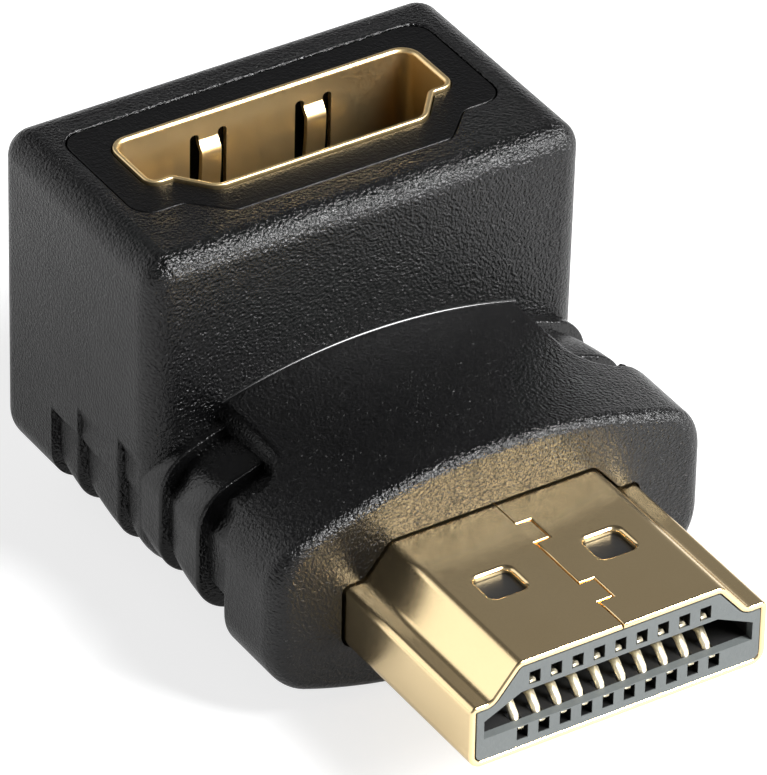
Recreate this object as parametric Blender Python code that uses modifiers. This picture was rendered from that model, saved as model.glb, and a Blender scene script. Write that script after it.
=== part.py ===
"""Right-angle video adapter: a 19-contact plug and a matching socket on one L-shaped moulding.

Units are metres. +Z is up, the plug points along -Y and the socket opens along +Z.
The origin is on the resting plane, under the middle of the overall length.
"""
import math

import bmesh
import bpy
from mathutils import Matrix, Vector

# Outside of the moulding: its walls are set from the plug and the socket that they hold
SIDE_WALL = 0.0016
BLOCK_FRONT_WALL = 0.00205
BLOCK_BACK_WALL = 0.0019
ARM_LENGTH = 0.0093
ARM_COVER = 0.003
BLOCK_HEIGHT = 0.0168
CROWN_RADIUS = 0.025
REST_HALF_WIDTH = 0.0025
BLOCK_CORNER = 0.0018
BLOCK_TOP_EDGE = 0.00115
BLOCK_UPRIGHT_EDGE = 0.0012
BLOCK_END_EDGE = 0.001
GRIP_LENGTH = 0.0041
GRIP_CORNER = 0.0023
GRIP_SIDE_EDGE = 0.0009
GRIP_END_EDGE = 0.00045
GRIP_REAR_SWEEP = 0.0005
GRIP_REAR_CORNER = 0.00105
PAD_SIDE_INSET = 0.00315
PAD_FILLET = 0.0016
PAD_BOTTOM_INSET = 0.00002

# Ribbed neck: each rib is full at its front step and tapers towards the block's back
NECK_CORNER = 0.0018
NECK_TOP_DROP = 0.00055
NECK_BOTTOM_DROP = 0.00015
NECK_SINK = 0.00002
NECK_ENTRY = 0.001
FIRST_RIB_INSET = 0.00055
RIB_LENGTHS = (0.0033, 0.0033, 0.0031, 0.0019)
RIB_FRONT_INSETS = (0.00008, 0.00006, 0.00008, 0.00008)
RIB_REAR_INSETS = (0.0006, 0.0005, 0.00046, 0.0003)
RIB_UPPER_SHARES = (1.0, 0.5, 0.5, 0.0)
RIB_FRONT_STAND = 0.0001
RIB_STEP_RUN = 0.00008
RIB_EDGE = 0.0001
RIB_FADE_HEIGHT = 0.0015
RIB_PAD_FADE = 0.0003

# Plug and socket outline, measured over the plug's shell
ROW_END_MARGIN = 0.00245
PLUG_HEIGHT = 0.00445
PLUG_EXPOSED = 0.00925
PLUG_BURIED = 0.00395
PLUG_RISE = 0.00015
OUTLINE_TOP_INSET = 0.00215
OUTLINE_SHOULDER_INSET = 0.00093
OUTLINE_SHOULDER_HEIGHT = 0.00298
OUTLINE_BASE_RADIUS = 0.0006
OUTLINE_EAR_RADIUS = 0.0003
OUTLINE_NECK_RADIUS = 0.00045
OUTLINE_TOP_RADIUS = 0.0005
PLUG_SHEET = 0.00028
SEAM_WIDTH = 0.00005
SEAM_X = 0.0001
SEAM_TAB_REACH = 0.0008
SEAM_TAB_LENGTH = 0.00145
SEAM_TAB_START = 0.00175
SEAM_TAB_PITCH = 0.00455
LATCH_X = 0.00257
LATCH_Y = 0.0048
LATCH_WIDTH = 0.0017
LATCH_LENGTH = 0.00155
LATCH_RADIUS = 0.0003

# Inside the plug
FIT_GAP = 0.00003
SLOT_DROP = 0.0001
SLOT_HEIGHT = 0.00165
SLOT_SIDE_INSET = 0.00065
SLOT_TOP_INSET = 0.00235
SLOT_SIDE_HEIGHT = 0.00085
SLOT_DEPTH = 0.0072
CAP_RECESS = 0.00003
CAP_THICKNESS = 0.0004
CARRIER_END_GAP = 0.0006
CONTACT_PITCH = 0.001
WIDE_ROW = 10
NARROW_ROW = 9
WINDOW_WIDTH = 0.00052
WINDOW_HEIGHT = 0.00062
WIDE_WINDOW_OFFSET = 0.00119
NARROW_WINDOW_OFFSET = 0.00134
CONTACT_ROW_OFFSET = 0.000745
CONTACT_WIDTH = 0.0004
CONTACT_TIP_WIDTH = 0.0003
CONTACT_SHEET = 0.00016
CONTACT_TIP_DROP = 0.00028
CONTACT_TIP_RADIUS = 0.00013
CONTACT_TIP_Y = 0.00027
CONTACT_STEP = 0.00008
CONTACT_RAMP = 0.0005
CONTACT_HUMP = 0.00042
CONTACT_CREST = 0.0002
CONTACT_BACK_SLOPE = 0.0011
CONTACT_TAIL = 0.002
CONTACT_SIDE_GAP = 0.00004
CONTACT_POCKET_LENGTH = 0.0006
CONTACT_POCKET_HEIGHT = 0.00065

# Circuit board
BOARD_THICKNESS = 0.0012
BOARD_GAP = 0.0001
BOARD_NECK_MARGIN = 0.00125
BOARD_MARGIN = 0.00075
BOARD_SHOULDER_SETBACK = 0.0006
BOARD_END_MARGIN = 0.00055
BOARD_RADIUS = 0.0004
PIN_HOLE = 0.0005
PIN_LENGTH = 0.0008
LEG_SLOT_GAP = 0.0001

# Socket
MATING_GAP = 0.00005
SOCKET_SHEET = 0.00025
SOCKET_STAND = 0.00012
SOCKET_FOOT_GAP = 0.00005
FINGER_X = 0.0025
FINGER_WIDTH = 0.00115
FINGER_SLOT = 0.0003
FINGER_TOP = 0.00078
FINGER_LENGTH = 0.0046
FINGER_BULGE = 0.00038
FINGER_BULGE_DEPTH = 0.0018
SIDE_LEG_WIDTH = 0.0014
FRONT_LEG_WIDTH = 0.001
FRONT_LEG_X = 0.0034
LEG_LENGTH = 0.0018
TONGUE_RECESS = 0.0023
TONGUE_THICKNESS = 0.00115
TONGUE_SIDE_INSET = 0.00095
TONGUE_NARROW_INSET = 0.00205
TONGUE_TIP_CHAMFER = 0.0002
SOCKET_BASE_HEIGHT = 0.0016
SOCKET_BASE_GAP = 0.00004
BLADE_WIDTH = 0.00034
BLADE_SHEET = 0.00015
BLADE_STAND = 0.00003
BLADE_TIP_GAP = 0.0007
BLADE_TIP_CHAMFER = 0.00008

# Inner moulding, with its flat surround around the socket's mouth
SURROUND_SIDE = 0.0014
SURROUND_FRONT = 0.001675
SURROUND_BACK = 0.001425
BEZEL_RADIUS = 0.001
BEZEL_NARROW_INSET = 0.00355
BEZEL_NECK_INSET = 0.00205
BEZEL_SHOULDER = 0.0015
BEZEL_NECK_RADIUS = 0.0006
BEZEL_GAP = 0.00005
BEZEL_RECESS = 0.00004
INNER_BASE = 0.00135
INNER_ARM_SIDE = 0.00105
INNER_ARM_COVER = 0.000725
INNER_ARM_RADIUS = 0.0016
INNER_FRONT_WALL = 0.0012
INNER_OVERLAP = 0.0024
SHELL_GAP = 0.00006
POCKET_ROOM = 0.0009
PIN_CLEARANCE = 0.0001

# Facets and cutters
ARC_STEP = math.radians(24)
LEAST_RADIUS = 0.00005
CROWN_STEPS = 6
CORNER_STEPS = 5
EDGE_STEPS = 4
RIB_FADE_STEPS = 3
HOLE_SIDES = 10
SMOOTH_ANGLE = math.radians(35)
CUT_MARGIN = 0.0005

# Places that follow from the sizes
PLUG_WIDTH = (WIDE_ROW - 1) * CONTACT_PITCH + 2 * ROW_END_MARGIN
SOCKET_HALF_WIDTH = PLUG_WIDTH / 2 + MATING_GAP + SOCKET_SHEET
SOCKET_HALF_DEPTH = PLUG_HEIGHT / 2 + MATING_GAP + SOCKET_SHEET
BEZEL_HALF_WIDTH = SOCKET_HALF_WIDTH + SURROUND_SIDE
BEZEL_DEPTH = SURROUND_FRONT + 2 * SOCKET_HALF_DEPTH + SURROUND_BACK
HALF_WIDTH = BEZEL_HALF_WIDTH + SIDE_WALL
PAD_HALF_WIDTH = HALF_WIDTH - PAD_SIDE_INSET
OVERALL_LENGTH = PLUG_EXPOSED + ARM_LENGTH + BLOCK_FRONT_WALL + BEZEL_DEPTH + BLOCK_BACK_WALL
PLUG_FRONT = -OVERALL_LENGTH / 2
GRIP_FRONT = PLUG_FRONT + PLUG_EXPOSED
GRIP_REAR = GRIP_FRONT + GRIP_LENGTH
BLOCK_FRONT = GRIP_FRONT + ARM_LENGTH
WELL_FRONT = BLOCK_FRONT + BLOCK_FRONT_WALL
WELL_SHOULDER = WELL_FRONT + BEZEL_SHOULDER
WELL_BACK = WELL_FRONT + BEZEL_DEPTH
BLOCK_BACK = WELL_BACK + BLOCK_BACK_WALL
CROWN_HALF_HEIGHT = PLUG_HEIGHT / 2 + ARM_COVER
REST_SAG = CROWN_RADIUS - math.sqrt(CROWN_RADIUS ** 2 - REST_HALF_WIDTH ** 2)
BARREL_MID = CROWN_HALF_HEIGHT - REST_SAG
PLUG_AXIS = BARREL_MID + PLUG_RISE
PLUG_REAR = GRIP_FRONT + PLUG_BURIED
SLOT_MID = -SLOT_DROP
CAP_REAR = PLUG_FRONT + CAP_RECESS + CAP_THICKNESS
CARRIER_FRONT = CAP_REAR + FIT_GAP
CARRIER_REAR = PLUG_REAR - CARRIER_END_GAP
INNER_ARM_HALF = PLUG_WIDTH / 2 + INNER_ARM_SIDE
INNER_ARM_HALF_HEIGHT = PLUG_HEIGHT / 2 + INNER_ARM_COVER
BOARD_NECK_HALF = INNER_ARM_HALF - BOARD_NECK_MARGIN
BOARD_HALF_WIDTH = BEZEL_HALF_WIDTH - BOARD_MARGIN
BOARD_FRONT = PLUG_REAR + BOARD_GAP
BOARD_REAR = WELL_BACK - BOARD_END_MARGIN
BOARD_MID = PLUG_AXIS + SLOT_MID
BOARD_TOP = BOARD_MID + BOARD_THICKNESS / 2
BOARD_BOTTOM = BOARD_MID - BOARD_THICKNESS / 2
SOCKET_AXIS = WELL_FRONT + SURROUND_FRONT + SOCKET_HALF_DEPTH
SOCKET_MOUTH = BLOCK_HEIGHT + SOCKET_STAND
SOCKET_FOOT = BOARD_TOP + SOCKET_FOOT_GAP
TONGUE_TIP = SOCKET_MOUTH - TONGUE_RECESS
BLADE_OFFSET = TONGUE_THICKNESS / 2 + BLADE_STAND - BLADE_SHEET / 2
PIN_END = BOARD_BOTTOM - PIN_LENGTH
POCKET_FLOOR = PIN_END - PIN_CLEARANCE
POCKET_ROOF = BOARD_TOP + POCKET_ROOM
INNER_FLOOR = POCKET_FLOOR - INNER_BASE


def plug_place(across, up, along):
    """Point from a plug section: along runs from the plug's front towards the block."""
    return Vector((across, along, PLUG_AXIS + up))


def socket_place(across, up, height):
    """Point from the same section turned into the socket, narrow side towards the plug."""
    return Vector((across, SOCKET_AXIS - up, height))


def plan_place(across, along, height):
    """Point from a plan outline."""
    return Vector((across, along, height))


def side_place(along, height, across):
    """Point from an outline drawn in the side view."""
    return Vector((across, along, height))


def cross_product(first, second):
    """Signed area of two vectors in a plane."""
    return first[0] * second[1] - first[1] * second[0]


def rounded_outline(corners):
    """Closed outline from (u, v, radius) corners, with an arc where a radius is given."""
    outline = []
    for index, (u, v, radius) in enumerate(corners):
        corner = Vector((u, v))
        before = (Vector(corners[index - 1][:2]) - corner).normalized()
        after = (Vector(corners[(index + 1) % len(corners)][:2]) - corner).normalized()
        if radius == 0:
            outline.append(corner)
            continue
        half_angle = before.angle(after) / 2
        centre = corner + (before + after).normalized() * radius / math.sin(half_angle)
        spoke = corner + before * radius / math.tan(half_angle) - centre
        turn = math.pi - 2 * half_angle
        side = 1 if cross_product(before, after) < 0 else -1
        steps = max(2, math.ceil(turn / ARC_STEP))
        for step in range(steps + 1):
            outline.append(centre + Matrix.Rotation(side * turn * step / steps, 2) @ spoke)
    return outline


def offset_each(outline, distances):
    """Move each point of an anticlockwise outline outwards by its own distance."""
    moved = []
    for index, point in enumerate(outline):
        arriving = (point - outline[index - 1]).normalized()
        leaving = (outline[(index + 1) % len(outline)] - point).normalized()
        normals = Vector((arriving.y, -arriving.x)) + Vector((leaving.y, -leaving.x))
        moved.append(point + normals * distances[index] / (1 + arriving.dot(leaving)))
    return moved


def offset_outline(outline, distance):
    """Grow an anticlockwise outline by one distance, or shrink it by a negative one."""
    return offset_each(outline, [distance] * len(outline))


def mirrored(corners):
    """Right half of an outline, bottom to top, with its left half added."""
    return corners + [(-corner[0],) + tuple(corner[1:]) for corner in reversed(corners)]


def grown_outline(corners, distance):
    """Rounded outline moved outwards by a distance, its radii changed to keep an even gap."""
    points = [Vector(corner[:2]) for corner in corners]
    moved = offset_outline(points, distance)
    grown = []
    for index, (point, corner) in enumerate(zip(moved, corners)):
        arriving = points[index] - points[index - 1]
        leaving = points[(index + 1) % len(points)] - points[index]
        change = distance if cross_product(arriving, leaving) > 0 else -distance
        radius = max(LEAST_RADIUS, corner[2] + change) if corner[2] else 0
        grown.append((point.x, point.y, radius))
    return rounded_outline(grown)


def connector_outline(gap):
    """The plug shell's outer outline grown by a gap: wide side down, shoulders cut in above."""
    bottom = -PLUG_HEIGHT / 2
    shoulder = bottom + OUTLINE_SHOULDER_HEIGHT
    return grown_outline(mirrored([
        (PLUG_WIDTH / 2, bottom, OUTLINE_BASE_RADIUS),
        (PLUG_WIDTH / 2, shoulder, OUTLINE_EAR_RADIUS),
        (PLUG_WIDTH / 2 - OUTLINE_SHOULDER_INSET, shoulder, OUTLINE_NECK_RADIUS),
        (PLUG_WIDTH / 2 - OUTLINE_TOP_INSET, PLUG_HEIGHT / 2, OUTLINE_TOP_RADIUS),
    ]), gap)


def slot_outline(gap):
    """The slot that takes the tongue of a socket, grown by a gap."""
    bottom = SLOT_MID - SLOT_HEIGHT / 2
    return grown_outline(mirrored([
        (PLUG_WIDTH / 2 - SLOT_SIDE_INSET, bottom, 0),
        (PLUG_WIDTH / 2 - SLOT_SIDE_INSET, bottom + SLOT_SIDE_HEIGHT, 0),
        (PLUG_WIDTH / 2 - SLOT_TOP_INSET, bottom + SLOT_HEIGHT, 0),
    ]), gap)


def row_positions(count):
    """Places across the width of the contacts of one row."""
    return [(index - (count - 1) / 2) * CONTACT_PITCH for index in range(count)]


def new_object(name, bm, group):
    """Object from a bmesh, with its faces turned outwards."""
    bmesh.ops.recalc_face_normals(bm, faces=bm.faces)
    mesh = bpy.data.meshes.new(name)
    bm.to_mesh(mesh)
    bm.free()
    obj = bpy.data.objects.new(name, mesh)
    group.objects.link(obj)
    return obj


def prism(name, outline, place, start, end, group):
    """Solid between two copies of an outline."""
    bm = bmesh.new()
    face = bm.faces.new([bm.verts.new(place(point[0], point[1], start)) for point in outline])
    moved = bmesh.ops.extrude_face_region(bm, geom=[face])["geom"]
    verts = [item for item in moved if isinstance(item, bmesh.types.BMVert)]
    bmesh.ops.translate(bm, verts=verts, vec=place(0, 0, end) - place(0, 0, start))
    return new_object(name, bm, group)


def loft(name, sections, group):
    """Solid through a row of sections that all have the same number of points."""
    bm = bmesh.new()
    rings = [[bm.verts.new(point) for point in section] for section in sections]
    for near, far in zip(rings, rings[1:]):
        for index in range(len(near)):
            bm.faces.new((near[index - 1], near[index], far[index], far[index - 1]))
    bm.faces.new(rings[0])
    bm.faces.new(rings[-1])
    return new_object(name, bm, group)


def sheet_tube(name, outline, place, start, end, thickness, group):
    """Folded sheet tube: the outline is the middle of the sheet."""
    bm = bmesh.new()
    ring = [bm.verts.new(place(point[0], point[1], start)) for point in outline]
    edges = [bm.edges.new((ring[index - 1], ring[index])) for index in range(len(ring))]
    moved = bmesh.ops.extrude_edge_only(bm, edges=edges)["geom"]
    verts = [item for item in moved if isinstance(item, bmesh.types.BMVert)]
    bmesh.ops.translate(bm, verts=verts, vec=place(0, 0, end) - place(0, 0, start))
    tube = new_object(name, bm, group)
    thicken(tube, thickness)
    return tube


def thicken(obj, thickness):
    """Give a surface its thickness, half to each side."""
    solidify = obj.modifiers.new("sheet", "SOLIDIFY")
    solidify.thickness = thickness
    solidify.offset = 0
    solidify.use_even_offset = True


def boxes(name, places, size, group):
    """Equal boxes at several places, as one object."""
    bm = bmesh.new()
    for place in places:
        matrix = Matrix.Translation(place) @ Matrix.Diagonal((*size, 1))
        bmesh.ops.create_cube(bm, size=1, matrix=matrix)
    return new_object(name, bm, group)


def combine(target, tool, operation):
    """Boolean one object with a hidden one."""
    modifier = target.modifiers.new(tool.name, "BOOLEAN")
    modifier.operation = operation
    modifier.solver = "EXACT"
    modifier.object = tool
    tool.hide_render = True
    tool.display_type = "WIRE"


def make_material(name, colour, roughness, metallic):
    """Plain surface of one colour."""
    material = bpy.data.materials.new(name)
    material.use_nodes = True
    shader = material.node_tree.nodes["Principled BSDF"]
    shader.inputs["Base Color"].default_value = (*colour, 1)
    shader.inputs["Roughness"].default_value = roughness
    shader.inputs["Metallic"].default_value = metallic
    return material


def finish(obj, material, parent):
    """Material, shading and parent of a finished part."""
    obj.data.materials.append(material)
    obj.data.shade_smooth()
    obj.data.set_sharp_from_angle(angle=SMOOTH_ANGLE)
    obj.parent = parent


def corner_arc(centre_x, centre_z, radius, first, last):
    """Points of an arc, from one angle to another."""
    points = []
    for step in range(CORNER_STEPS + 1):
        angle = first + (last - first) * step / CORNER_STEPS
        points.append((centre_x + radius * math.cos(angle), centre_z + radius * math.sin(angle)))
    return points


def crown_corner(half_width, half_height, radius):
    """Height of the arc that joins a crowned face to an upright side, and the crown's lean there."""
    centre_x = half_width - radius
    reach = CROWN_RADIUS - radius
    height = half_height - CROWN_RADIUS + math.sqrt(reach ** 2 - centre_x ** 2)
    return height, math.asin(centre_x / reach)


def lower_half(half_width, half_height, radius, marks):
    """Right half of a crowned underside, from its flat middle up to the upright side."""
    height, lean = crown_corner(half_width, half_height, radius)
    points = []
    for x in marks:
        points.append((x, CROWN_RADIUS - half_height - math.sqrt(CROWN_RADIUS ** 2 - x ** 2)))
    return points + corner_arc(half_width - radius, -height, radius, lean - math.pi / 2, 0)


def barrel_section(half_width, top, bottom, radius):
    """Section of the arm: two shallow crowns with rounded corners, flat under the middle."""
    marks = [REST_HALF_WIDTH, (REST_HALF_WIDTH + PAD_HALF_WIDTH) / 2, PAD_HALF_WIDTH]
    points = lower_half(half_width, bottom, radius, marks)
    height, lean = crown_corner(half_width, top, radius)
    points += corner_arc(half_width - radius, height, radius, 0, math.pi / 2 - lean)
    for step in range(CROWN_STEPS - 1, 0, -1):
        angle = lean * (2 * step - 1) / (2 * CROWN_STEPS - 1)
        points.append((CROWN_RADIUS * math.sin(angle),
                       top - CROWN_RADIUS + CROWN_RADIUS * math.cos(angle)))
    return [Vector(point) for point in mirrored(points)]


def block_section():
    """Section of the block: the same underside, upright sides and a flat top."""
    marks = [REST_HALF_WIDTH, (REST_HALF_WIDTH + PAD_HALF_WIDTH) / 2,
             PAD_HALF_WIDTH, PAD_HALF_WIDTH + RIB_PAD_FADE]
    points = lower_half(HALF_WIDTH, CROWN_HALF_HEIGHT, BLOCK_CORNER, marks)
    for step in range(RIB_FADE_STEPS + 1):
        points.append((HALF_WIDTH, RIB_FADE_HEIGHT * step / RIB_FADE_STEPS))
    top = BLOCK_HEIGHT - BARREL_MID
    points += corner_arc(HALF_WIDTH - BLOCK_TOP_EDGE, top - BLOCK_TOP_EDGE, BLOCK_TOP_EDGE,
                         0, math.pi / 2)
    return [Vector(point) for point in mirrored(points)]


def edge_inset(distance, radius):
    """How far a rounded end edge stands in, at a distance from the end face."""
    if distance >= radius:
        return 0
    return radius - math.sqrt(radius ** 2 - (radius - distance) ** 2)


def end_distances(radius):
    """Distances from an end face at which its rounded edge gets a section."""
    return [radius * (1 - math.cos(math.pi / 2 * step / EDGE_STEPS))
            for step in range(EDGE_STEPS + 1)]


def place_section(outline, along):
    """Section outline moved to its place along the body."""
    return [Vector((point.x, along, BARREL_MID + point.y)) for point in outline]


def rib_fronts():
    """Places of the rib steps: the second one is the step against the block's front wall."""
    first = BLOCK_FRONT - RIB_FRONT_STAND - RIB_LENGTHS[0]
    return [first + sum(RIB_LENGTHS[:index]) for index in range(len(RIB_LENGTHS) + 1)]


def rib_stations(first, last):
    """Places, insets and upper shares of the sections that draw the ribs in a range of ribs."""
    fronts = rib_fronts()
    stations = []
    for index in range(first, last):
        front, rear = RIB_FRONT_INSETS[index], RIB_REAR_INSETS[index]
        share = RIB_UPPER_SHARES[index]
        slope = (rear - front) / RIB_LENGTHS[index]
        stations.append((fronts[index], front + RIB_EDGE, share))
        stations.append((fronts[index] + RIB_EDGE, front + slope * RIB_EDGE, share))
        stations.append((fronts[index + 1] - RIB_STEP_RUN, rear, share))
    return stations


def build_grip(helpers):
    """Front grip and the smooth pad that runs back from it over the ribbed neck."""
    section = barrel_section(HALF_WIDTH, CROWN_HALF_HEIGHT,
                             CROWN_HALF_HEIGHT - PAD_BOTTOM_INSET, GRIP_CORNER)
    radii = []
    for point in section:
        upright = abs(point.y) < CROWN_HALF_HEIGHT - GRIP_CORNER
        radii.append(GRIP_SIDE_EDGE if upright else GRIP_END_EDGE)
    sections = []
    for distance in end_distances(GRIP_SIDE_EDGE) + [BLOCK_FRONT + NECK_ENTRY - GRIP_FRONT]:
        insets = [-edge_inset(distance, radius) for radius in radii]
        sections.append(place_section(offset_each(section, insets), GRIP_FRONT + distance))
    barrel = loft("grip_barrel", sections, helpers)
    outer = HALF_WIDTH + CUT_MARGIN
    plan = rounded_outline(mirrored([
        (outer, GRIP_FRONT - CUT_MARGIN, 0),
        (outer, GRIP_REAR - GRIP_REAR_SWEEP, 0),
        (HALF_WIDTH - GRIP_REAR_CORNER, GRIP_REAR, 0),
        (PAD_HALF_WIDTH, GRIP_REAR, PAD_FILLET),
        (PAD_HALF_WIDTH, BLOCK_FRONT + 2 * NECK_ENTRY, 0),
    ]))
    outline = prism("grip_plan", plan, plan_place, -CUT_MARGIN, BLOCK_HEIGHT, helpers)
    combine(barrel, outline, "INTERSECT")
    return barrel


def build_neck(helpers):
    """Ribbed neck between the grip and the block."""
    entry = BLOCK_FRONT + NECK_ENTRY
    stations = [(GRIP_REAR - 2 * GRIP_REAR_SWEEP, FIRST_RIB_INSET, 1),
                (rib_fronts()[0] - RIB_STEP_RUN, FIRST_RIB_INSET, 1)]
    stations += [station for station in rib_stations(0, 2) if station[0] < entry]
    slope = (RIB_REAR_INSETS[1] - RIB_FRONT_INSETS[1]) / RIB_LENGTHS[1]
    stations.append((entry, RIB_FRONT_INSETS[1] + slope * (entry - rib_fronts()[1]), 1))
    sections = []
    for along, inset, _ in stations:
        inset += NECK_SINK
        outline = barrel_section(HALF_WIDTH - inset, CROWN_HALF_HEIGHT - NECK_TOP_DROP - inset,
                                 CROWN_HALF_HEIGHT - NECK_BOTTOM_DROP - inset, NECK_CORNER)
        sections.append(place_section(outline, along))
    return loft("neck_ribs", sections, helpers)


def build_block(group):
    """Upright block, with the ribs that carry on along the lower part of its sides."""
    section = block_section()
    radii = []
    for point in section:
        upright = abs(point.x) > HALF_WIDTH - BLOCK_TOP_EDGE / 2
        radii.append(BLOCK_UPRIGHT_EDGE if upright else BLOCK_END_EDGE)
    distances = end_distances(max(BLOCK_END_EDGE, BLOCK_UPRIGHT_EDGE))
    stations = [(BLOCK_FRONT + distance, None, 0) for distance in distances]
    stations += [station for station in rib_stations(1, len(RIB_LENGTHS))
                 if station[0] > stations[-1][0]]
    stations.append((rib_fronts()[-1], 0, 0))
    stations += [(BLOCK_BACK - distance, 0, 0) for distance in reversed(distances)]
    slope = (RIB_REAR_INSETS[1] - RIB_FRONT_INSETS[1]) / RIB_LENGTHS[1]
    sections = []
    for along, inset, share in stations:
        if inset is None:
            inset = RIB_FRONT_INSETS[1] + slope * (along - rib_fronts()[1])
            share = RIB_UPPER_SHARES[1]
        ends = min(along - BLOCK_FRONT, BLOCK_BACK - along)
        insets = []
        for point, radius in zip(section, radii):
            insets.append(-edge_inset(ends, radius) - inset * rib_fade(point, share))
        sections.append(place_section(offset_each(section, insets), along))
    return loft("overmould", sections, group)


def rib_fade(point, share):
    """How much of a rib's inset a point of the block's section takes."""
    if point.y < 0:
        return 1 if abs(point.x) > PAD_HALF_WIDTH + RIB_PAD_FADE / 2 else 0
    if point.y == 0:
        return 1
    return share * max(0, 1 - point.y / RIB_FADE_HEIGHT)


def well_outline(gap):
    """Plan outline of the upright hollow in the block, shaped like the socket, grown by a gap."""
    corners = [(BEZEL_HALF_WIDTH - BEZEL_NARROW_INSET, WELL_FRONT, BEZEL_NECK_RADIUS),
               (BEZEL_HALF_WIDTH - BEZEL_NECK_INSET, WELL_SHOULDER, BEZEL_NECK_RADIUS),
               (BEZEL_HALF_WIDTH, WELL_SHOULDER, BEZEL_RADIUS),
               (BEZEL_HALF_WIDTH, WELL_BACK, BEZEL_RADIUS)]
    return grown_outline(mirrored(corners), gap)


def arm_outline(gap):
    """Section outline of the lengthwise hollow in the arm, grown by a gap."""
    middle = BARREL_MID - PLUG_AXIS
    corners = [(INNER_ARM_HALF, middle - INNER_ARM_HALF_HEIGHT, INNER_ARM_RADIUS),
               (INNER_ARM_HALF, middle + INNER_ARM_HALF_HEIGHT, INNER_ARM_RADIUS)]
    return grown_outline(mirrored(corners), gap)


def board_outline(gap):
    """Plan outline of the circuit board, wider under the socket, grown by a gap."""
    shoulder = WELL_SHOULDER + BOARD_SHOULDER_SETBACK
    corners = [(BOARD_NECK_HALF, BOARD_FRONT, BOARD_RADIUS),
               (BOARD_NECK_HALF, shoulder, 0),
               (BOARD_HALF_WIDTH, shoulder, BOARD_RADIUS),
               (BOARD_HALF_WIDTH, BOARD_REAR, BOARD_RADIUS)]
    return grown_outline(mirrored(corners), gap)


def build_overmould(parts, helpers):
    """Outer moulding: block, ribbed neck and grip in one, hollow from the plug to the socket."""
    body = build_block(parts)
    combine(body, build_neck(helpers), "UNION")
    combine(body, build_grip(helpers), "UNION")
    well = prism("well_cut", well_outline(0), plan_place, INNER_FLOOR,
                 BLOCK_HEIGHT + CUT_MARGIN, helpers)
    combine(body, well, "DIFFERENCE")
    arm = prism("arm_cut", arm_outline(BEZEL_GAP), plug_place,
                GRIP_FRONT + INNER_FRONT_WALL, WELL_FRONT + INNER_OVERLAP, helpers)
    combine(body, arm, "DIFFERENCE")
    mouth = prism("plug_mouth_cut", connector_outline(SHELL_GAP), plug_place,
                  GRIP_FRONT - CUT_MARGIN, GRIP_FRONT + INNER_FRONT_WALL + CUT_MARGIN, helpers)
    combine(body, mouth, "DIFFERENCE")
    return body


def build_inner_moulding(parts, helpers):
    """Inner moulding that holds plug, board and socket; its top is the socket's surround."""
    inner = prism("inner_moulding", well_outline(-BEZEL_GAP), plan_place,
                  INNER_FLOOR + BEZEL_GAP, BLOCK_HEIGHT - BEZEL_RECESS, parts)
    arm = prism("inner_arm", arm_outline(0), plug_place,
                GRIP_FRONT + INNER_FRONT_WALL + BEZEL_GAP, WELL_FRONT + INNER_OVERLAP, helpers)
    combine(inner, arm, "UNION")
    plug = prism("plug_bed_cut", connector_outline(SHELL_GAP), plug_place,
                 GRIP_FRONT, PLUG_REAR + SHELL_GAP, helpers)
    combine(inner, plug, "DIFFERENCE")
    pocket = prism("board_pocket_cut", board_outline(BEZEL_GAP), plan_place,
                   POCKET_FLOOR, POCKET_ROOF, helpers)
    combine(inner, pocket, "DIFFERENCE")
    grown = MATING_GAP + SOCKET_SHEET + SHELL_GAP
    socket = prism("socket_bed_cut", connector_outline(grown), socket_place,
                   BOARD_TOP, BLOCK_HEIGHT + CUT_MARGIN, helpers)
    combine(inner, socket, "DIFFERENCE")
    return inner


def seam_path():
    """Butt seam along the plug shell's narrow side, with its two square tabs."""
    path = [(SEAM_X, PLUG_FRONT - CUT_MARGIN)]
    for index in range(2):
        start = PLUG_FRONT + SEAM_TAB_START + index * SEAM_TAB_PITCH
        path += [(SEAM_X, start), (SEAM_TAB_REACH, start),
                 (SEAM_TAB_REACH, start + SEAM_TAB_LENGTH), (SEAM_X, start + SEAM_TAB_LENGTH)]
    path.append((SEAM_X, PLUG_REAR + CUT_MARGIN))
    return path


def build_plug_shell(parts, helpers):
    """Folded plug shell with its seam and its latch windows on both broad sides."""
    middle = connector_outline(-PLUG_SHEET / 2)
    shell = sheet_tube("plug_shell", middle, plug_place, PLUG_FRONT, PLUG_REAR, PLUG_SHEET, parts)
    bm = bmesh.new()
    low = PLUG_AXIS + PLUG_HEIGHT / 2 - 2 * PLUG_SHEET
    points = [bm.verts.new((x, y, low)) for x, y in seam_path()]
    edges = [bm.edges.new(pair) for pair in zip(points, points[1:])]
    moved = bmesh.ops.extrude_edge_only(bm, edges=edges)["geom"]
    verts = [item for item in moved if isinstance(item, bmesh.types.BMVert)]
    bmesh.ops.translate(bm, verts=verts, vec=Vector((0, 0, 3 * PLUG_SHEET)))
    seam = new_object("seam_cut", bm, helpers)
    thicken(seam, SEAM_WIDTH)
    combine(shell, seam, "DIFFERENCE")
    for side in (-1, 1):
        across = LATCH_WIDTH / 2
        corners = [(side * LATCH_X + sign * across, PLUG_FRONT + LATCH_Y + end, LATCH_RADIUS)
                   for sign, end in ((-1, -LATCH_LENGTH / 2), (1, -LATCH_LENGTH / 2),
                                     (1, LATCH_LENGTH / 2), (-1, LATCH_LENGTH / 2))]
        for level in (-1, 1):
            height = PLUG_AXIS + level * PLUG_HEIGHT / 2
            window = prism("latch_cut", rounded_outline(corners), plan_place,
                           height - 2 * PLUG_SHEET, height + 2 * PLUG_SHEET, helpers)
            combine(shell, window, "DIFFERENCE")
    return shell


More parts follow.
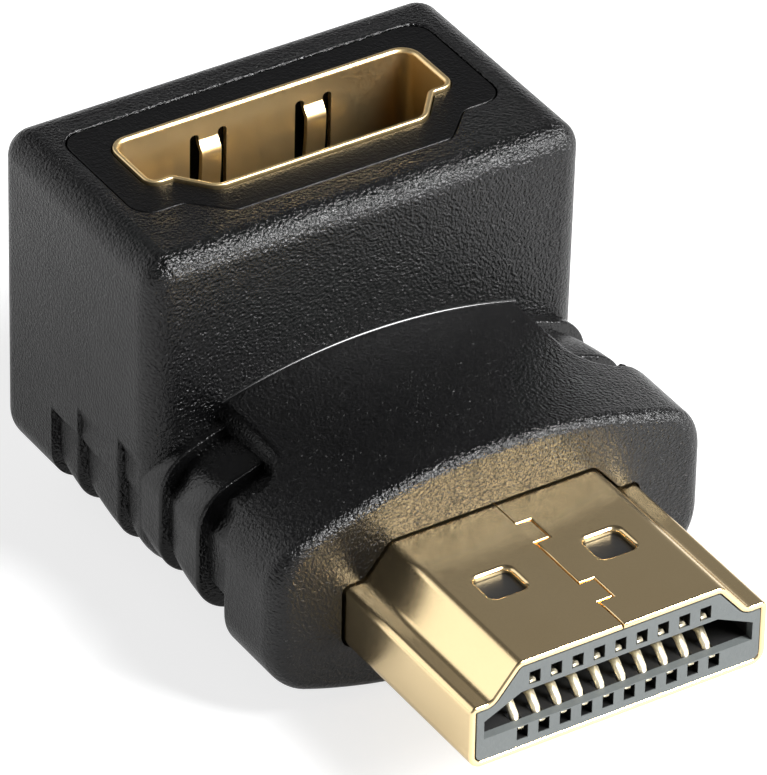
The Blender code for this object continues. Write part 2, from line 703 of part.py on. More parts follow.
def build_front_cap(parts, helpers):
    """Grey cap in the plug's mouth, with the slot and a window in front of each contact."""
    inside = connector_outline(-PLUG_SHEET - FIT_GAP)
    cap = prism("plug_front_cap", inside, plug_place, PLUG_FRONT + CAP_RECESS, CAP_REAR, parts)
    slot = prism("cap_slot_cut", slot_outline(0), plug_place, PLUG_FRONT - CUT_MARGIN,
                 CAP_REAR + CUT_MARGIN, helpers)
    combine(cap, slot, "DIFFERENCE")
    middle = (PLUG_FRONT + CAP_REAR) / 2
    for count, offset in ((WIDE_ROW, -WIDE_WINDOW_OFFSET), (NARROW_ROW, NARROW_WINDOW_OFFSET)):
        places = [plug_place(x, SLOT_MID + offset, middle) for x in row_positions(count)]
        size = (WINDOW_WIDTH, 2 * CAP_THICKNESS, WINDOW_HEIGHT)
        combine(cap, boxes("window_cut", places, size, helpers), "DIFFERENCE")
    return cap


def build_contact_carrier(parts, helpers):
    """Black carrier behind the cap: the rest of the slot, and a passage for each contact."""
    inside = connector_outline(-PLUG_SHEET - FIT_GAP)
    carrier = prism("plug_contact_carrier", inside, plug_place, CARRIER_FRONT, CARRIER_REAR, parts)
    cut = prism("carrier_slot_cut", slot_outline(FIT_GAP), plug_place, PLUG_FRONT,
                PLUG_FRONT + SLOT_DEPTH, helpers)
    combine(carrier, cut, "DIFFERENCE")
    width = CONTACT_WIDTH + 2 * CONTACT_SIDE_GAP
    start = PLUG_FRONT + SLOT_DEPTH - CUT_MARGIN
    length = CARRIER_REAR + CUT_MARGIN - start
    for count, sign in ((WIDE_ROW, -1), (NARROW_ROW, 1)):
        level = SLOT_MID + sign * CONTACT_ROW_OFFSET
        places = [plug_place(x, level, start + length / 2) for x in row_positions(count)]
        size = (width, length, CONTACT_SHEET + 2 * CONTACT_SIDE_GAP)
        combine(carrier, boxes("passage_cut", places, size, helpers), "DIFFERENCE")
        pocket = SLOT_MID + sign * (SLOT_HEIGHT + CONTACT_POCKET_HEIGHT) / 2
        places = [plug_place(x, pocket, CARRIER_FRONT) for x in row_positions(count)]
        size = (width, 2 * CONTACT_POCKET_LENGTH, CONTACT_POCKET_HEIGHT)
        combine(carrier, boxes("pocket_cut", places, size, helpers), "DIFFERENCE")
    return carrier


def contact_profile():
    """Side view of a plug contact: round tip, ramp up to a crest, slope down to a straight tail."""
    half = CONTACT_SHEET / 2
    tip_y = PLUG_FRONT + CONTACT_TIP_Y
    foot = CARRIER_FRONT + half
    knee = foot + CONTACT_STEP
    crest = knee + CONTACT_RAMP
    crest_end = crest + CONTACT_CREST
    beam = crest_end + CONTACT_BACK_SLOPE
    tail = BOARD_FRONT + CONTACT_TAIL
    hinge = math.asin(half / CONTACT_TIP_RADIUS)
    line = [(beam, 0), (crest_end, CONTACT_HUMP), (crest, CONTACT_HUMP), (knee, 0),
            (foot, -CONTACT_TIP_DROP)]
    lean = (0, 0, half / 2, half * 0.7, half / 2)
    profile = [Vector((tail, -half)), Vector((tail, half))]
    profile += [Vector((y - back, z + half)) for (y, z), back in zip(line, lean)]
    steps = 6
    for step in range(steps + 1):
        angle = hinge + (2 * math.pi - 2 * hinge) * step / steps
        profile.append(Vector((tip_y + CONTACT_TIP_RADIUS * math.cos(angle),
                               CONTACT_TIP_RADIUS * math.sin(angle) - CONTACT_TIP_DROP)))
    profile += [Vector((y + back, z - half)) for (y, z), back in zip(reversed(line), reversed(lean))]
    return profile


def build_plug_contacts(parts, helpers):
    """Nineteen plug contacts on one mesh: the narrow side's row is turned over."""
    pattern = prism("contact_pattern", contact_profile(), side_place,
                    -CONTACT_WIDTH / 2, CONTACT_WIDTH / 2, helpers)
    for vertex in pattern.data.vertices:
        if vertex.co.y < CARRIER_FRONT + CONTACT_STEP * 2:
            vertex.co.x *= CONTACT_TIP_WIDTH / CONTACT_WIDTH
    contacts = []
    for first, count, sign in ((1, WIDE_ROW, -1), (2, NARROW_ROW, 1)):
        for index, x in enumerate(row_positions(count)):
            contact = bpy.data.objects.new(f"plug_contact_{first + 2 * index:02d}", pattern.data)
            contact.location = plug_place(x, SLOT_MID + sign * CONTACT_ROW_OFFSET, 0)
            contact.rotation_euler = (0, math.pi if sign > 0 else 0, 0)
            parts.objects.link(contact)
            contacts.append(contact)
    bpy.data.objects.remove(pattern)
    return contacts


def leg_places():
    """Middle of each socket leg, with its size across and along the body."""
    side_x = PLUG_WIDTH / 2 + MATING_GAP + SOCKET_SHEET / 2
    side_up = (OUTLINE_SHOULDER_HEIGHT - PLUG_HEIGHT) / 2
    front_up = PLUG_HEIGHT / 2 + MATING_GAP + SOCKET_SHEET / 2
    places = []
    for sign in (-1, 1):
        places.append((sign * side_x, side_up, SOCKET_SHEET, SIDE_LEG_WIDTH))
        places.append((sign * FRONT_LEG_X, front_up, FRONT_LEG_WIDTH, SOCKET_SHEET))
    return places


def build_circuit_board(parts, helpers):
    """Board between the plug's two rows of tails, drilled for the socket's pins and legs."""
    board = prism("circuit_board", board_outline(0), plan_place, BOARD_BOTTOM, BOARD_TOP, parts)
    bm = bmesh.new()
    for count, sign in ((WIDE_ROW, -1), (NARROW_ROW, 1)):
        for x in row_positions(count):
            place = socket_place(x, SLOT_MID + sign * BLADE_OFFSET, BOARD_MID)
            bmesh.ops.create_cone(bm, cap_ends=True, segments=HOLE_SIDES, radius1=PIN_HOLE / 2,
                                  radius2=PIN_HOLE / 2, depth=2 * BOARD_THICKNESS,
                                  matrix=Matrix.Translation(place))
    combine(board, new_object("pin_hole_cut", bm, helpers), "DIFFERENCE")
    for x, up, width, depth in leg_places():
        size = (width + 2 * LEG_SLOT_GAP, depth + 2 * LEG_SLOT_GAP, 2 * BOARD_THICKNESS)
        slot = boxes("leg_slot_cut", [socket_place(x, up, BOARD_MID)], size, helpers)
        combine(board, slot, "DIFFERENCE")
    return board


def finger_profile(wall, sign):
    """Side view of a spring finger: rooted low in the wall, bulged inwards near its free end."""
    sheet = SOCKET_SHEET
    top = SOCKET_MOUTH - FINGER_TOP - FINGER_SLOT
    bulge = SOCKET_MOUTH - FINGER_BULGE_DEPTH
    root = SOCKET_MOUTH - FINGER_TOP - FINGER_LENGTH
    line = [(0, root - sheet), (0, root), (FINGER_BULGE, bulge), (0, top)]
    inner = [(wall + sign * (sheet / 2 + inward), height) for inward, height in line]
    outer = [(wall + sign * (inward - sheet / 2), height) for inward, height in reversed(line)]
    return inner + outer


def finger_place(up, height, across):
    """Point from the side view of a spring finger."""
    return socket_place(across, up, height)


def build_socket_shell(parts, helpers):
    """Folded socket shell with spring fingers in its broad walls and legs under its edge."""
    middle = connector_outline(MATING_GAP + SOCKET_SHEET / 2)
    foot = SOCKET_FOOT - LEG_LENGTH
    shell = sheet_tube("socket_shell", middle, socket_place, foot, SOCKET_MOUTH, SOCKET_SHEET,
                       parts)
    size = (2 * PLUG_WIDTH, 4 * PLUG_HEIGHT, LEG_LENGTH + CUT_MARGIN)
    base = SOCKET_FOOT - size[2] / 2
    skirt = boxes("leg_waste", [socket_place(0, 0, base)], size, helpers)
    for x, up, width, depth in leg_places():
        thick = 2 * SOCKET_SHEET
        keep = (max(width, thick) if width > depth else thick,
                max(depth, thick) if depth > width else thick, 2 * size[2])
        combine(skirt, boxes("leg_keep", [socket_place(x, up, base)], keep, helpers), "DIFFERENCE")
    combine(shell, skirt, "DIFFERENCE")
    wall = PLUG_HEIGHT / 2 + MATING_GAP + SOCKET_SHEET / 2
    top = SOCKET_MOUTH - FINGER_TOP
    for x in (-FINGER_X, FINGER_X):
        for sign in (-1, 1):
            size = (FINGER_WIDTH + 2 * FINGER_SLOT, 4 * SOCKET_SHEET, FINGER_LENGTH)
            place = socket_place(x, sign * wall, top - FINGER_LENGTH / 2)
            combine(shell, boxes("finger_cut", [place], size, helpers), "DIFFERENCE")
            finger = prism("finger", finger_profile(sign * wall, -sign), finger_place,
                           x - FINGER_WIDTH / 2, x + FINGER_WIDTH / 2, helpers)
            combine(shell, finger, "UNION")
    return shell


def build_socket_tongue(parts, helpers):
    """Socket insulator: a base in the foot of the shell and the tongue that carries the blades."""
    base_outline = connector_outline(MATING_GAP - SOCKET_BASE_GAP)
    foot = BOARD_TOP + SOCKET_FOOT_GAP
    tongue = prism("socket_tongue", base_outline, socket_place, foot,
                   foot + SOCKET_BASE_HEIGHT, parts)
    half = TONGUE_THICKNESS / 2
    sections = []
    for height, shrink in ((foot + SOCKET_BASE_HEIGHT / 2, 0),
                           (TONGUE_TIP - TONGUE_TIP_CHAMFER, 0), (TONGUE_TIP, -TONGUE_TIP_CHAMFER)):
        outline = grown_outline(mirrored([
            (PLUG_WIDTH / 2 - TONGUE_SIDE_INSET, SLOT_MID - half, 0),
            (PLUG_WIDTH / 2 - TONGUE_SIDE_INSET, SLOT_MID, 0),
            (PLUG_WIDTH / 2 - TONGUE_NARROW_INSET, SLOT_MID + half, 0),
        ]), shrink)
        sections.append([socket_place(point.x, point.y, height) for point in outline])
    combine(tongue, loft("tongue_blade", sections, helpers), "UNION")
    width = BLADE_WIDTH + 2 * CONTACT_SIDE_GAP
    depth = 2 * BLADE_SHEET + FIT_GAP
    top = TONGUE_TIP - BLADE_TIP_GAP + FIT_GAP
    length = top - foot + CUT_MARGIN
    for count, sign in ((WIDE_ROW, -1), (NARROW_ROW, 1)):
        inner = BLADE_OFFSET - BLADE_SHEET / 2 - FIT_GAP
        places = [socket_place(x, SLOT_MID + sign * (inner + depth / 2), top - length / 2)
                  for x in row_positions(count)]
        combine(tongue, boxes("blade_cut", places, (width, depth, length), helpers), "DIFFERENCE")
    return tongue


def build_socket_contacts(parts, helpers):
    """Nineteen straight blades on one mesh, from the tongue down through the board."""
    top = TONGUE_TIP - BLADE_TIP_GAP
    half = BLADE_SHEET / 2
    profile = [(-half, PIN_END), (half, PIN_END), (half, top - BLADE_TIP_CHAMFER),
               (half - BLADE_TIP_CHAMFER, top), (-half, top)]
    pattern = prism("blade_pattern", profile, side_place, -BLADE_WIDTH / 2, BLADE_WIDTH / 2,
                    helpers)
    contacts = []
    for first, count, sign in ((1, WIDE_ROW, -1), (2, NARROW_ROW, 1)):
        for index, x in enumerate(row_positions(count)):
            contact = bpy.data.objects.new(f"socket_contact_{first + 2 * index:02d}", pattern.data)
            contact.location = socket_place(x, SLOT_MID + sign * BLADE_OFFSET, 0)
            contact.rotation_euler = (0, 0, math.pi if sign > 0 else 0)
            parts.objects.link(contact)
            contacts.append(contact)
    bpy.data.objects.remove(pattern)
    return contacts


def main():
    """Clear the scene and build the adapter."""
    for obj in list(bpy.data.objects):
        bpy.data.objects.remove(obj)
    scene = bpy.context.scene
    parts = bpy.data.collections.new("right_angle_adapter")
    helpers = bpy.data.collections.new("cutters")
    scene.collection.children.link(parts)
    scene.collection.children.link(helpers)
    root = bpy.data.objects.new("adapter_origin", None)
    parts.objects.link(root)

    soft_black = make_material("soft_black_plastic", (0.012, 0.012, 0.013), 0.55, 0)
    smooth_black = make_material("smooth_black_plastic", (0.01, 0.01, 0.011), 0.4, 0)
    carrier_black = make_material("carrier_black", (0.008, 0.008, 0.009), 0.5, 0)
    cap_grey = make_material("cap_grey", (0.24, 0.27, 0.29), 0.5, 0)
    shell_gold = make_material("shell_gold", (0.72, 0.58, 0.33), 0.25, 1)
    contact_gold = make_material("contact_gold", (0.83, 0.68, 0.38), 0.3, 1)
    board_green = make_material("board_green", (0.03, 0.13, 0.06), 0.45, 0)

    finish(build_overmould(parts, helpers), soft_black, root)
    finish(build_inner_moulding(parts, helpers), smooth_black, root)
    finish(build_plug_shell(parts, helpers), shell_gold, root)
    finish(build_front_cap(parts, helpers), cap_grey, root)
    finish(build_contact_carrier(parts, helpers), carrier_black, root)
    finish(build_circuit_board(parts, helpers), board_green, root)
    finish(build_socket_shell(parts, helpers), shell_gold, root)
    finish(build_socket_tongue(parts, helpers), carrier_black, root)
    for contacts in (build_plug_contacts(parts, helpers), build_socket_contacts(parts, helpers)):
        contacts[0].data.materials.append(contact_gold)
        for contact in contacts:
            contact.parent = root


main()
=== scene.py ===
import math

import bmesh
import bpy
from mathutils import Matrix, Vector


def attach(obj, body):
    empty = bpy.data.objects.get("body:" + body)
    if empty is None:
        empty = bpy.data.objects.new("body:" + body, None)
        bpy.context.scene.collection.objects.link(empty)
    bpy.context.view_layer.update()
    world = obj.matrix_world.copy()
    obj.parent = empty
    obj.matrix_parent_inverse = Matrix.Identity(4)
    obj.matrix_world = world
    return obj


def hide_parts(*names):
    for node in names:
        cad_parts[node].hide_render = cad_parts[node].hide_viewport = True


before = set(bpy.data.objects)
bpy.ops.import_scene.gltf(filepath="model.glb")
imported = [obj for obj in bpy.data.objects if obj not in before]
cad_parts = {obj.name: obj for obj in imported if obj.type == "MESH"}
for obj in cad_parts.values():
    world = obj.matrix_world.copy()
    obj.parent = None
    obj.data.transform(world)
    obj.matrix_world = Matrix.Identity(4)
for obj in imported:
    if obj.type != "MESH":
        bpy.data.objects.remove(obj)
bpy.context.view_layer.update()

# Upright block of the outer moulding
# Soft black plastic shot over the finished inner parts, with a fine pebble grain from the mould.
# Its sides carry the last ribs of the neck, and its top is open for the socket's surround.
half_width = 0.01025
block_front = 0.003225
block_back = 0.015325
block_top = 0.0168
block_front_edge = 0.00135
block_back_edge = 0.00105
block_end_edge = 0.001
block_top_edge = 0.00115
block_top_taper = block_top_edge * 0.97
block_under_corner = 0.0018
crown_radius = 0.025
crown_half_height = 0.005225
barrel_middle = 0.0051
rest_half_width = 0.0025
pad_half_width = 0.0071
side_rings = 19
side_ring_top = 0.0026
side_ring_step = 0.00019

rib_lengths = (0.00285, 0.00327, 0.00318, 0.00207)
rib_front_stand = 0.00055
rib_crests = (0.00008, 0.00006, 0.00008, 0.00008, 0)
rib_valleys = (0.00052, 0.0005, 0.00048, 0.0004)
rib_first_valley = 0.00055
rib_power = 3.4
rib_round = 0.00014
rib_step_run = 0.00008
rib_corner_drop = 0.0004
rib_corner_power = 1.3
rib_edge_shares = (0.08, 0.3, 0.6, 1)
rib_slope_shares = (0.3, 0.45, 0.56, 0.66, 0.75, 0.83, 0.9, 0.96)
# Each groove on the block's sides: where its soft top ends, where its crisp top ends, share of soft.
groove_tops = ((0.0021, 0.0001, 0.6), (0.0017, -0.00005, 0.35), (0.0002, 0.0002, 0))
groove_soft_fade = 0.0007
groove_crisp_fade = 0.0003
groove_under_fade = 0.0025
groove_rest_fade = 0.0004

# Lengths are in metres. A hair and a speck are the slack in a test of where a point lies.
hair = 0.00001
speck = 0.000001
sharp_turn = math.radians(38)
pits_to_grain = 2.6
fine_share = 0.6

rib_fronts = [block_front - rib_front_stand - rib_lengths[0]]
for length in rib_lengths:
    rib_fronts.append(rib_fronts[-1] + length)


def new_piece(name, bm, node, material):
    """Finished mesh as a piece that stands for its CAD node."""
    bmesh.ops.recalc_face_normals(bm, faces=bm.faces)
    mesh = bpy.data.meshes.new(name)
    bm.to_mesh(mesh)
    bm.free()
    mesh.materials.append(material)
    mesh.shade_smooth()
    mesh.set_sharp_from_angle(angle=sharp_turn)
    piece = bpy.data.objects.new(name, mesh)
    bpy.context.scene.collection.objects.link(piece)
    weighted = piece.modifiers.new("even shading", "WEIGHTED_NORMAL")
    weighted.keep_sharp = True
    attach(piece, "root")
    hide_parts(node)


def feed(tree, socket, source):
    """Gives a socket its value, or links it to another node's output."""
    if isinstance(source, bpy.types.NodeSocket):
        tree.links.new(source, socket)
    else:
        socket.default_value = source


def add_node(tree, kind, **sockets):
    """Shader node with values or links for its sockets."""
    made = tree.nodes.new(kind)
    for name, source in sockets.items():
        feed(tree, made.inputs[name.replace("_", " ")], source)
    return made


def add_math(tree, operation, *sources):
    """Output of a calculation on one to three values."""
    made = tree.nodes.new("ShaderNodeMath")
    made.operation = operation
    for socket, source in zip(made.inputs, sources):
        feed(tree, socket, source)
    return made.outputs[0]


def mix_colours(tree, share, first, second):
    """Output of a colour between two others."""
    made = tree.nodes.new("ShaderNodeMix")
    made.data_type = "RGBA"
    for index, source in ((0, share), (6, first), (7, second)):
        feed(tree, made.inputs[index], source)
    return made.outputs[2]


def noise(tree, where, scale, detail, roughness):
    """Output of a noise pattern at a place."""
    return add_node(tree, "ShaderNodeTexNoise", Vector=where, Scale=scale, Detail=detail,
                    Roughness=roughness).outputs["Fac"]


def new_finish(name):
    """Material with its shader, and the place on a piece in millimetres."""
    material = bpy.data.materials.new(name)
    material.use_nodes = True
    tree = material.node_tree
    place = add_node(tree, "ShaderNodeTexCoord").outputs["Object"]
    where = add_node(tree, "ShaderNodeMapping", Vector=place, Scale=(1000, 1000, 1000))
    return material, tree, tree.nodes["Principled BSDF"], where.outputs["Vector"]


def moulded_plastic(name, dark, light, gloss, matt, grain, grain_height, pitting, specular):
    """Moulded plastic: pebble grain with fine pits over it, cloudy colour, rubbed glossier in places."""
    material, tree, shader, where = new_finish(name)
    shader.inputs["Specular IOR Level"].default_value = specular
    cloud = noise(tree, where, scale=0.45, detail=5, roughness=0.6)
    fine = noise(tree, where, scale=9, detail=3, roughness=0.7)
    pebble = noise(tree, where, scale=1 / grain, detail=1, roughness=0.4)
    pits = noise(tree, where, scale=pits_to_grain / grain, detail=1, roughness=0.5)
    colour = mix_colours(tree, cloud, (*dark, 1), (*light, 1))
    worn = add_math(tree, "MULTIPLY_ADD", fine, fine_share, cloud)
    rough = add_node(tree, "ShaderNodeMapRange", Value=worn, From_Min=0.5, From_Max=1.1,
                     To_Min=gloss, To_Max=matt)
    height = add_math(tree, "MULTIPLY_ADD", pits, pitting, pebble)
    bump = add_node(tree, "ShaderNodeBump", Height=height, Strength=1, Distance=grain_height)
    feed(tree, shader.inputs["Base Color"], colour)
    feed(tree, shader.inputs["Roughness"], rough.outputs["Result"])
    feed(tree, shader.inputs["Normal"], bump.outputs["Normal"])
    return material


def points_of(geom):
    """The points in what an operator gives back."""
    return [item for item in geom if isinstance(item, bmesh.types.BMVert)]


def run_on(bm, point, place):
    """Draws a wire on from its last point to a new one."""
    new = bmesh.ops.extrude_vert_indiv(bm, verts=[point])["verts"][0]
    new.co = place
    return new


def turn_on(bm, point, x, z, degrees, steps):
    """Draws a wire on along an arc about a centre."""
    spun = bmesh.ops.spin(bm, geom=[point], cent=(x, point.co.y, z), axis=(0, 1, 0),
                          angle=math.radians(degrees), steps=steps)["geom_last"]
    return points_of(spun)[0]


def crowned_corner(width, height, radius):
    """Lean of a crowned face where its corner starts, and that corner's height over the middle."""
    reach = crown_radius - radius
    lean = math.asin((width - radius) / reach)
    return math.degrees(lean), height - crown_radius + reach * math.cos(lean)


def mirror_wire(bm):
    """Adds the left half of a section and joins the two halves."""
    bmesh.ops.mirror(bm, geom=bm.verts[:] + bm.edges[:], axis="X", merge_dist=1e-7)
    bmesh.ops.remove_doubles(bm, verts=bm.verts, dist=speck)
    loose = [vert for vert in bm.verts if len(vert.link_edges) == 1]
    for upper in (True, False):
        pair = sorted(loose, key=lambda vert: vert.co.z, reverse=upper)[:2]
        if len(pair) == 2 and abs(pair[0].co.z - pair[1].co.z) < speck:
            bmesh.ops.contextual_create(bm, geom=pair)
            loose = [vert for vert in loose if vert not in pair]


def draw_along(bm, places):
    """Extrudes a closed section from place to place along the body, and gives its first and last rim."""
    ring = bm.edges[:]
    start = ring[0].verts[0].co.y
    first = ring[:]
    for near, far in zip([start] + places, places):
        drawn = bmesh.ops.extrude_edge_only(bm, edges=ring)["geom"]
        verts = points_of(drawn)
        bmesh.ops.translate(bm, verts=verts, vec=(0, far - near, 0))
        found = set(verts)
        ring = [item for item in drawn if isinstance(item, bmesh.types.BMEdge)
                and item.verts[0] in found and item.verts[1] in found]
    bmesh.ops.recalc_face_normals(bm, faces=bm.faces)
    bm.normal_update()
    return first, ring


def press(bm, rims, depth_at):
    """Presses a drawn section in along its own normals, and closes both ends."""
    moves = [(vert, vert.normal * depth_at(vert.co, vert.normal)) for vert in bm.verts]
    for vert, move in moves:
        vert.co -= move
    for rim in rims:
        bmesh.ops.edgeloop_fill(bm, edges=rim)
    bmesh.ops.recalc_face_normals(bm, faces=bm.faces)


def rounding(distance, radius):
    """How far a rounded edge lies in, at a distance from the face that it ends in."""
    return radius - math.sqrt(radius ** 2 - max(0, radius - max(0, distance)) ** 2)


def edge_places(radius, steps):
    """Distances from an end face at which its rounded edge gets a ring of points."""
    return [radius * (1 - math.cos(math.pi / 2 * step / steps)) for step in range(steps + 1)]


def rib_depth(y, corner):
    """How far the ribbed surface lies in at a place along the body; the corners lie in further."""
    depth = rib_first_valley + corner * rib_corner_drop
    for index, (front, crest) in enumerate(zip(rib_fronts, rib_crests)):
        if y < front - rib_step_run:
            break
        if y < front:
            return depth + (crest + rib_round - depth) * (y - front + rib_step_run) / rib_step_run
        depth = crest + rounding(y - front, rib_round)
        if index < len(rib_lengths):
            run = min(1, (y - front) / rib_lengths[index])
            depth += (rib_valleys[index] - crest) * run ** rib_power
            depth += corner * rib_corner_drop * run ** rib_corner_power
    return depth


def rib_places(first, last):
    """Places along the body where a ribbed piece needs a ring of points."""
    places = []
    for front, length in zip(rib_fronts, rib_lengths + (0,)):
        places += [front - rib_step_run - hair, front - rib_step_run / 2, front]
        places += [front + rib_round * share for share in rib_edge_shares]
        places += [front + length * share for share in rib_slope_shares if length]
    return sorted(place for place in places if first < place < last)


def smooth_step(value):
    """Soft change from 0 to 1."""
    value = min(1, max(0, value))
    return value * value * (3 - 2 * value)


def groove_share(place):
    """How much of a rib's depth the block's side takes: the grooves die out upwards."""
    index = min(2, sum(place.y >= front - rib_step_run for front in rib_fronts[2:4]))
    soft_top, crisp_top, soft = groove_tops[index]
    height = place.z - barrel_middle
    fading = smooth_step((soft_top - height) / groove_soft_fade)
    ending = smooth_step((crisp_top - height) / groove_crisp_fade + 0.5)
    return soft * fading + (1 - soft) * ending


def block_depth(place, normal):
    """How far the block's surface lies in from its plain section: rounded ends, ribs and grooves."""
    side = abs(normal.x)
    upright = block_front_edge
    if place.z > barrel_middle:
        corner_start = block_top - block_top_edge
        drop = min(1, (corner_start - place.z) / (corner_start - barrel_middle))
        upright = block_top_taper + (block_front_edge - block_top_taper) * max(0, drop)
    front = block_end_edge + (upright - block_end_edge) * side
    back = block_end_edge + (block_back_edge - block_end_edge) * side
    depth = rounding(place.y - block_front, front) + rounding(block_back - place.y, back)
    if place.y > rib_fronts[-1]:
        return depth
    under = min(1, max(0, (barrel_middle - place.z) / groove_under_fade))
    beside_rest = smooth_step((abs(place.x) - pad_half_width) / groove_rest_fade)
    corner = abs(2 * normal.x * normal.z) * under
    return depth + (rib_depth(place.y, corner) * groove_share(place)
                    * (1 - under * (1 - beside_rest)))


def solid(name, bm):
    """Helper object of a mesh that is still being made."""
    bmesh.ops.recalc_face_normals(bm, faces=bm.faces)
    mesh = bpy.data.meshes.new(name)
    bm.to_mesh(mesh)
    bm.free()
    made = bpy.data.objects.new(name, mesh)
    bpy.context.scene.collection.objects.link(made)
    return made


def cut(body, tool, operation="DIFFERENCE"):
    """Cuts one solid with another, or keeps what they share."""
    body = solid("body", body)
    tool = solid("tool", tool)
    modifier = body.modifiers.new("cut", "BOOLEAN")
    modifier.operation = operation
    modifier.solver = "EXACT"
    modifier.object = tool
    graph = bpy.context.evaluated_depsgraph_get()
    made = bmesh.new()
    made.from_mesh(body.evaluated_get(graph).to_mesh())
    for helper in (body, tool):
        bpy.data.objects.remove(helper)
    bmesh.ops.remove_doubles(made, verts=made.verts, dist=1e-7)
    bmesh.ops.recalc_face_normals(made, faces=made.faces)
    made.normal_update()
    return made


def round_corners(made, verts, radii):
    """Rounds each corner of a flat outline to its own radius."""
    spans = []
    for index, (vert, radius) in enumerate(zip(verts, radii)):
        before = verts[index - 1].co - vert.co
        after = verts[(index + 1) % len(verts)].co - vert.co
        spans.append(radius / math.tan(before.angle(after) / 2))
    for vert, span in zip(verts, spans):
        if span > 0:
            bmesh.ops.bevel(made, geom=[vert], offset=span, offset_type="OFFSET",
                            affect="VERTICES", segments=8, profile=0.5, material=-1)


def raise_face(made, way):
    """Extrudes the one face of an outline into a solid."""
    drawn = bmesh.ops.extrude_face_region(made, geom=made.faces[:])["geom"]
    bmesh.ops.translate(made, verts=points_of(drawn), vec=way)


def plan_solid(corners, low, high):
    """Upright solid on a plan outline, from (x, y, corner radius) of its right half, front to back."""
    made = bmesh.new()
    for x, y, radius in corners:
        made.verts.new((x, y, low))
    for x, y, radius in reversed(corners):
        made.verts.new((-x, y, low))
    made.faces.new(made.verts[:])
    made.verts.ensure_lookup_table()
    round_corners(made, made.verts[:], [corner[2] for corner in corners + corners[::-1]])
    raise_face(made, (0, 0, high - low))
    return made


def round_edges(bm, offset, segments, wanted, least_turn=60):
    """Rounds the sharp edges that lie where a test says."""
    edges = [edge for edge in bm.edges if len(edge.link_faces) == 2
             and edge.calc_face_angle(0) > math.radians(least_turn)
             and all(wanted(vert.co) for vert in edge.verts)]
    bmesh.ops.bevel(bm, geom=edges, offset=offset, offset_type="OFFSET", affect="EDGES",
                    segments=segments, profile=0.5, material=-1, clamp_overlap=False)


black_shades = ((0.0006, 0.0006, 0.0007), (0.0014, 0.0014, 0.0015))
soft_black = moulded_plastic("soft_black_plastic", *black_shades, gloss=0.16, matt=0.28, grain=0.13,
                             grain_height=0.00008, pitting=0.4, specular=0.34)
bm = bmesh.new()
lean, corner_height = crowned_corner(half_width, crown_half_height, block_under_corner)
point = bm.verts.new((half_width - block_top_edge, block_front, block_top))
point = turn_on(bm, point, half_width - block_top_edge, block_top - block_top_edge, 90, steps=10)
for step in range(side_rings):
    height = barrel_middle + side_ring_top - step * side_ring_step
    point = run_on(bm, point, (half_width, block_front, height))
point = run_on(bm, point, (half_width, block_front, barrel_middle - corner_height))
point = turn_on(bm, point, half_width - block_under_corner, barrel_middle - corner_height,
                90 - lean, steps=10)
rest_lean = math.degrees(math.asin(rest_half_width / crown_radius))
point = turn_on(bm, point, 0, barrel_middle - crown_half_height + crown_radius,
                lean - rest_lean, steps=16)
mirror_wire(bm)
front_places = [block_front + distance for distance in edge_places(block_front_edge, steps=9)]
back_places = [block_back - distance
               for distance in reversed(edge_places(block_back_edge, steps=9))]
places = front_places + rib_places(front_places[-1], back_places[0]) + back_places
press(bm, draw_along(bm, places[1:]), block_depth)

well_front = 0.005275
well_shoulder = 0.006775
well_back = 0.013425
well_floor = 0.012
well_half_width = 0.00865
well_nose_inset = 0.00355
well_shoulder_inset = 0.00205
well_nose_corner = 0.0006
well_back_corner = 0.001
well_edge = 0.0001
above_block = 0.02
well_plan = [(well_half_width - well_nose_inset, well_front, well_nose_corner),
             (well_half_width - well_shoulder_inset, well_shoulder, well_nose_corner),
             (well_half_width, well_shoulder, well_back_corner),
             (well_half_width, well_back, well_back_corner)]
bm = cut(bm, plan_solid(well_plan, well_floor, above_block))
round_edges(bm, well_edge, segments=4,
            wanted=lambda place: place.z > block_top - speck
            and abs(place.x) < well_half_width + 10 * hair
            and well_front - hair < place.y < well_back + hair)
new_piece("block_moulding", bm, "overmould", soft_black)

# Ribbed neck between block and grip
# The same shot of soft black plastic. Each rib stands full at its front step and falls away
# towards the block, so that fingers hold when the plug is pushed in.
neck_corner = 0.0021
neck_top_drop = 0.00066
neck_bottom_drop = 0.0004
neck_top_share = 0.5
neck_start = -0.0028
neck_end = 0.0042
rubbed_black = moulded_plastic("rubbed_black_plastic", *black_shades, gloss=0.2, matt=0.32,
                               grain=0.14, grain_height=0.000032, pitting=0.25, specular=0.34)


def neck_depth(place, normal):
    """How far the neck's surface lies in: the ribs are shallower on its top."""
    corner = abs(2 * normal.x * normal.z)
    return rib_depth(place.y, corner) * (1 - (1 - neck_top_share) * max(0, normal.z) ** 4)


bm = bmesh.new()
top = crown_half_height - neck_top_drop
bottom = crown_half_height - neck_bottom_drop
point = bm.verts.new((0, neck_start, barrel_middle + top))
lean, corner_height = crowned_corner(half_width, top, neck_corner)
point = turn_on(bm, point, 0, barrel_middle + top - crown_radius, lean, steps=20)
point = turn_on(bm, point, half_width - neck_corner, barrel_middle + corner_height,
                90 - lean, steps=12)
lean, corner_height = crowned_corner(half_width, bottom, neck_corner)
point = run_on(bm, point, (half_width, neck_start, barrel_middle - corner_height))
point = turn_on(bm, point, half_width - neck_corner, barrel_middle - corner_height,
                90 - lean, steps=12)
point = turn_on(bm, point, 0, barrel_middle - bottom + crown_radius, lean, steps=20)
mirror_wire(bm)
press(bm, draw_along(bm, rib_places(neck_start, neck_end) + [neck_end]), neck_depth)
new_piece("neck_moulding", bm, "overmould", rubbed_black)

